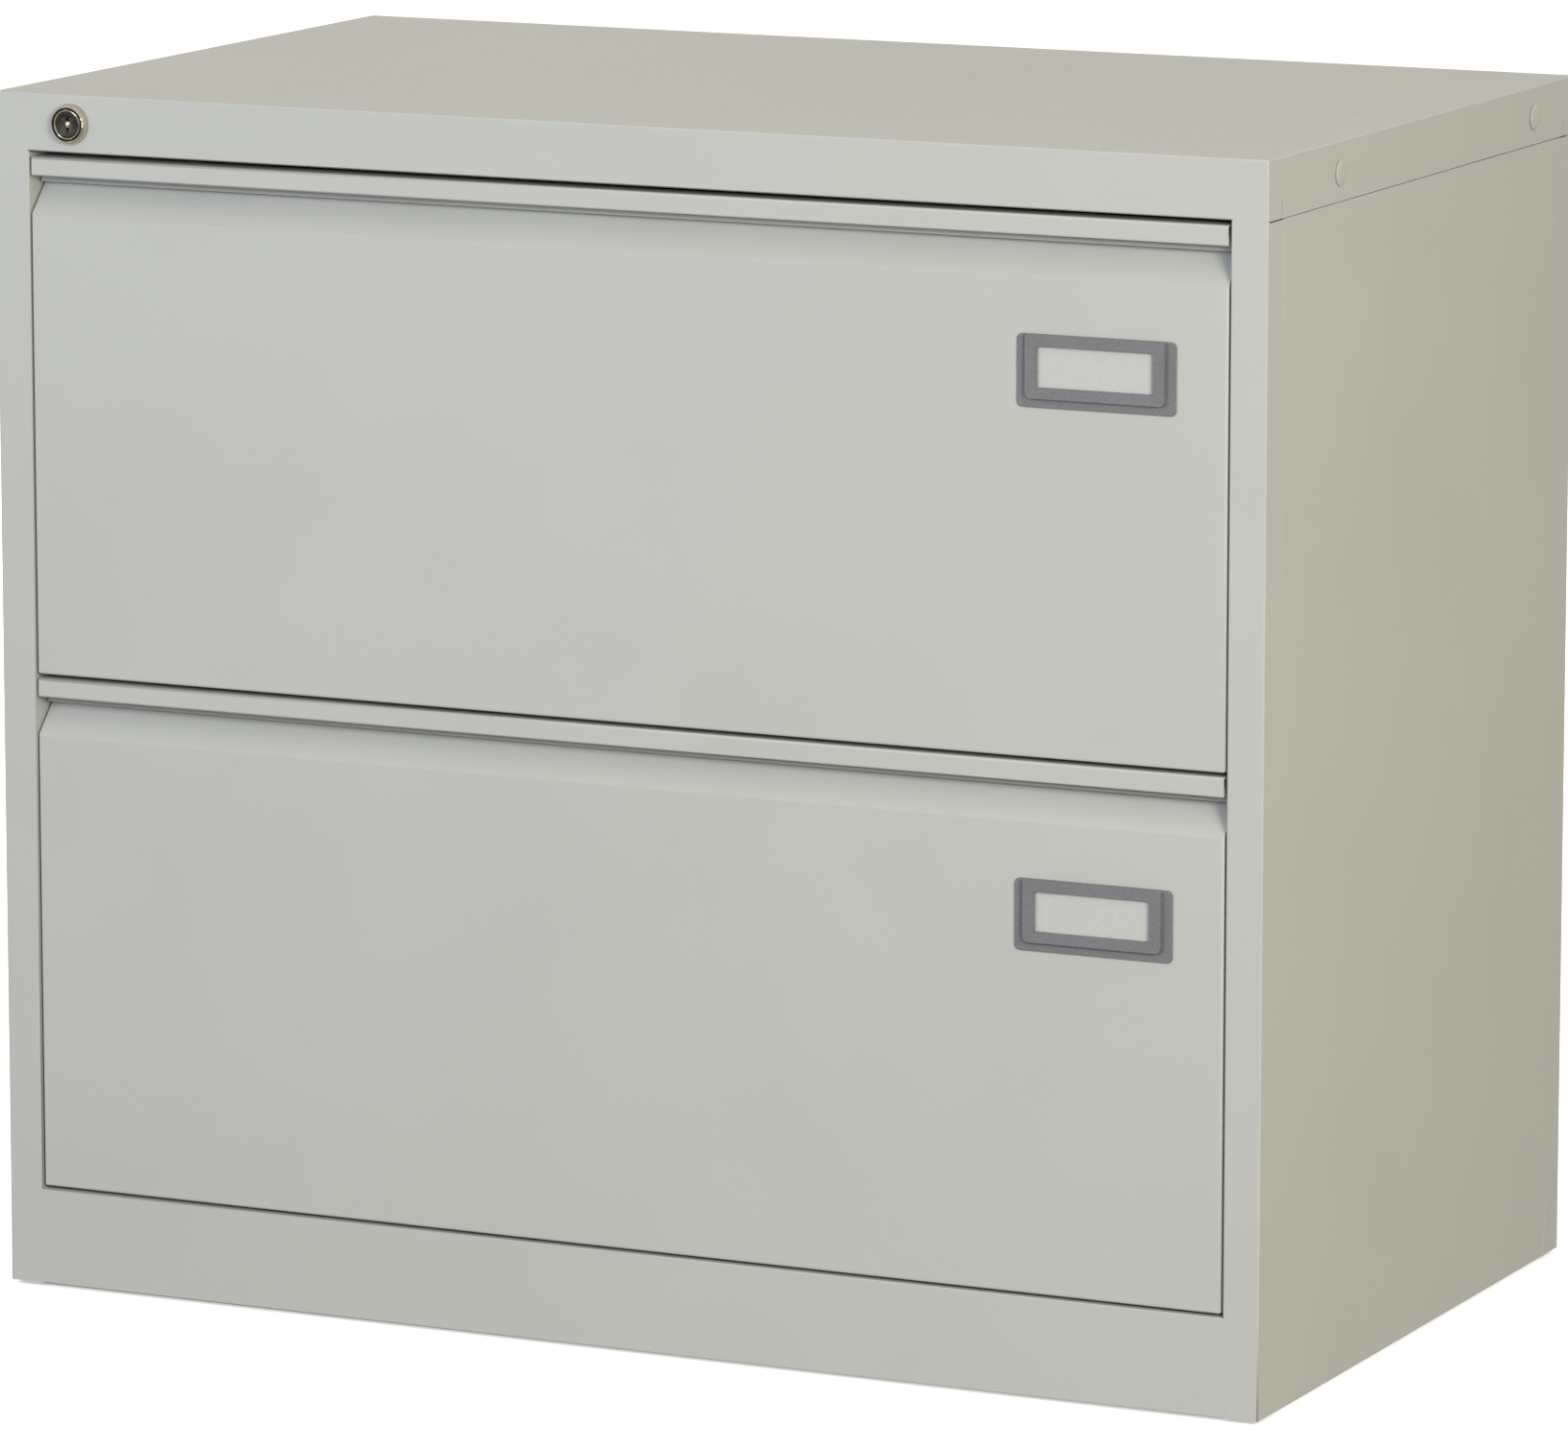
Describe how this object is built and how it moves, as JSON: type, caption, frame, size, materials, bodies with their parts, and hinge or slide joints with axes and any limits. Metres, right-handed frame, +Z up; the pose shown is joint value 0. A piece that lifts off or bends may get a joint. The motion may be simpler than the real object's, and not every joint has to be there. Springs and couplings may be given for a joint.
{
  "type": "side filing cabinet",
  "caption": "Steel side filing cabinet with stacked drawers on telescopic runners, full-width recessed pulls, label holders and a cam lock that bars the drawers.",
  "frame": {"origin": "on the floor under the middle of the cabinet, lock and hole plugs included", "axes": "+Z up, -Y out of the drawer fronts, +X to the right of someone facing the drawers"},
  "size_m": [0.8026, 0.4744, 0.711],
  "materials": {
    "cabinet_paint": "fine low-gloss powder coat, pale grey",
    "zinc_plated_steel": "bright zinc plate",
    "chrome": "satin nickel-chrome plate",
    "lock_plug_steel": "dark turned steel",
    "holder_plastic": "fine-textured grey moulding",
    "label_card": "uncoated card",
    "foot_plastic": "black moulding",
    "guide_nylon": "natural nylon"
  },
  "bodies": {
    "case": {"top_panel": "cabinet_paint", "back_panel": "cabinet_paint", "plinth_rail": "cabinet_paint", "base_pan": "cabinet_paint", "lock_housing": "chrome", "lock_nut": "zinc_plated_steel", "upper_lock_bar_guide": "guide_nylon", "lower_lock_bar_guide": "guide_nylon", "left_side_panel": "cabinet_paint", "left_foot_channel": "cabinet_paint", "left_front_upright": "cabinet_paint", "left_rear_upright": "cabinet_paint", "left_front_hole_plug": "cabinet_paint", "left_rear_hole_plug": "cabinet_paint", "right_side_panel": "cabinet_paint", "right_foot_channel": "cabinet_paint", "right_front_upright": "cabinet_paint", "right_rear_upright": "cabinet_paint", "right_front_hole_plug": "cabinet_paint", "right_rear_hole_plug": "cabinet_paint", "upper_left_runner_outer": "zinc_plated_steel", "upper_right_runner_outer": "zinc_plated_steel", "lower_left_runner_outer": "zinc_plated_steel", "lower_right_runner_outer": "zinc_plated_steel"},
    "left_front_foot": {"left_front_levelling_foot": "foot_plastic"},
    "left_rear_foot": {"left_rear_levelling_foot": "foot_plastic"},
    "right_front_foot": {"right_front_levelling_foot": "foot_plastic"},
    "right_rear_foot": {"right_rear_levelling_foot": "foot_plastic"},
    "upper_drawer": {"upper_drawer_front": "cabinet_paint", "upper_drawer_front_liner": "cabinet_paint", "upper_drawer_tray": "cabinet_paint", "upper_drawer_back": "cabinet_paint", "upper_front_file_rail": "zinc_plated_steel", "upper_rear_file_rail": "zinc_plated_steel", "upper_lock_catch": "zinc_plated_steel", "upper_left_runner_inner": "zinc_plated_steel", "upper_right_runner_inner": "zinc_plated_steel", "upper_label_holder": "holder_plastic"},
    "upper_card": {"upper_label_card": "label_card"},
    "upper_left_runner": {"upper_left_runner_middle": "zinc_plated_steel"},
    "upper_right_runner": {"upper_right_runner_middle": "zinc_plated_steel"},
    "lower_drawer": {"lower_drawer_front": "cabinet_paint", "lower_drawer_front_liner": "cabinet_paint", "lower_drawer_tray": "cabinet_paint", "lower_drawer_back": "cabinet_paint", "lower_front_file_rail": "zinc_plated_steel", "lower_rear_file_rail": "zinc_plated_steel", "lower_lock_catch": "zinc_plated_steel", "lower_left_runner_inner": "zinc_plated_steel", "lower_right_runner_inner": "zinc_plated_steel", "lower_label_holder": "holder_plastic"},
    "lower_card": {"lower_label_card": "label_card"},
    "lower_left_runner": {"lower_left_runner_middle": "zinc_plated_steel"},
    "lower_right_runner": {"lower_right_runner_middle": "zinc_plated_steel"},
    "lock_plug": {"lock_plug": "lock_plug_steel", "lock_cam": "zinc_plated_steel"},
    "lock_bar": {"lock_bar": "zinc_plated_steel"}
  },
  "joints": [
    {"name": "upper_drawer_slide", "type": "slide", "parent": "case", "child": "upper_drawer", "axis": [0, -1, 0], "range_m": [0, 0.4]},
    {"name": "upper_left_runner_slide", "type": "slide", "parent": "case", "child": "upper_left_runner", "axis": [0, -1, 0], "range_m": [0, 0.2]},
    {"name": "upper_right_runner_slide", "type": "slide", "parent": "case", "child": "upper_right_runner", "axis": [0, -1, 0], "range_m": [0, 0.2]},
    {"name": "upper_card_slide", "type": "slide", "parent": "upper_drawer", "child": "upper_card", "axis": [0, 0, 1], "range_m": [0, 0.03]},
    {"name": "lower_drawer_slide", "type": "slide", "parent": "case", "child": "lower_drawer", "axis": [0, -1, 0], "range_m": [0, 0.4]},
    {"name": "lower_left_runner_slide", "type": "slide", "parent": "case", "child": "lower_left_runner", "axis": [0, -1, 0], "range_m": [0, 0.2]},
    {"name": "lower_right_runner_slide", "type": "slide", "parent": "case", "child": "lower_right_runner", "axis": [0, -1, 0], "range_m": [0, 0.2]},
    {"name": "lower_card_slide", "type": "slide", "parent": "lower_drawer", "child": "lower_card", "axis": [0, 0, 1], "range_m": [0, 0.03]},
    {"name": "lock_plug_turn", "type": "hinge", "parent": "case", "child": "lock_plug", "pos_m": [-0.35, -0.2328, 0.6939], "axis": [0, 1, 0], "range_deg": [0, 90]},
    {"name": "lock_bar_lift", "type": "slide", "parent": "case", "child": "lock_bar", "axis": [0, 0, 1], "range_m": [0, 0.01202]},
    {"name": "left_front_foot_screw", "type": "slide", "parent": "case", "child": "left_front_foot", "axis": [0, 0, 1], "range_m": [-0.015, 0]},
    {"name": "left_rear_foot_screw", "type": "slide", "parent": "case", "child": "left_rear_foot", "axis": [0, 0, 1], "range_m": [-0.015, 0]},
    {"name": "right_front_foot_screw", "type": "slide", "parent": "case", "child": "right_front_foot", "axis": [0, 0, 1], "range_m": [-0.015, 0]},
    {"name": "right_rear_foot_screw", "type": "slide", "parent": "case", "child": "right_rear_foot", "axis": [0, 0, 1], "range_m": [-0.015, 0]}
  ],
  "couplings": [
    {"joint": "upper_left_runner_slide", "follows": "upper_drawer_slide", "ratio": 0.5},
    {"joint": "upper_right_runner_slide", "follows": "upper_drawer_slide", "ratio": 0.5},
    {"joint": "lower_left_runner_slide", "follows": "lower_drawer_slide", "ratio": 0.5},
    {"joint": "lower_right_runner_slide", "follows": "lower_drawer_slide", "ratio": 0.5},
    {"joint": "lock_plug_turn", "follows": "lock_bar_lift", "rad_per_m": 130.67}
  ]
}
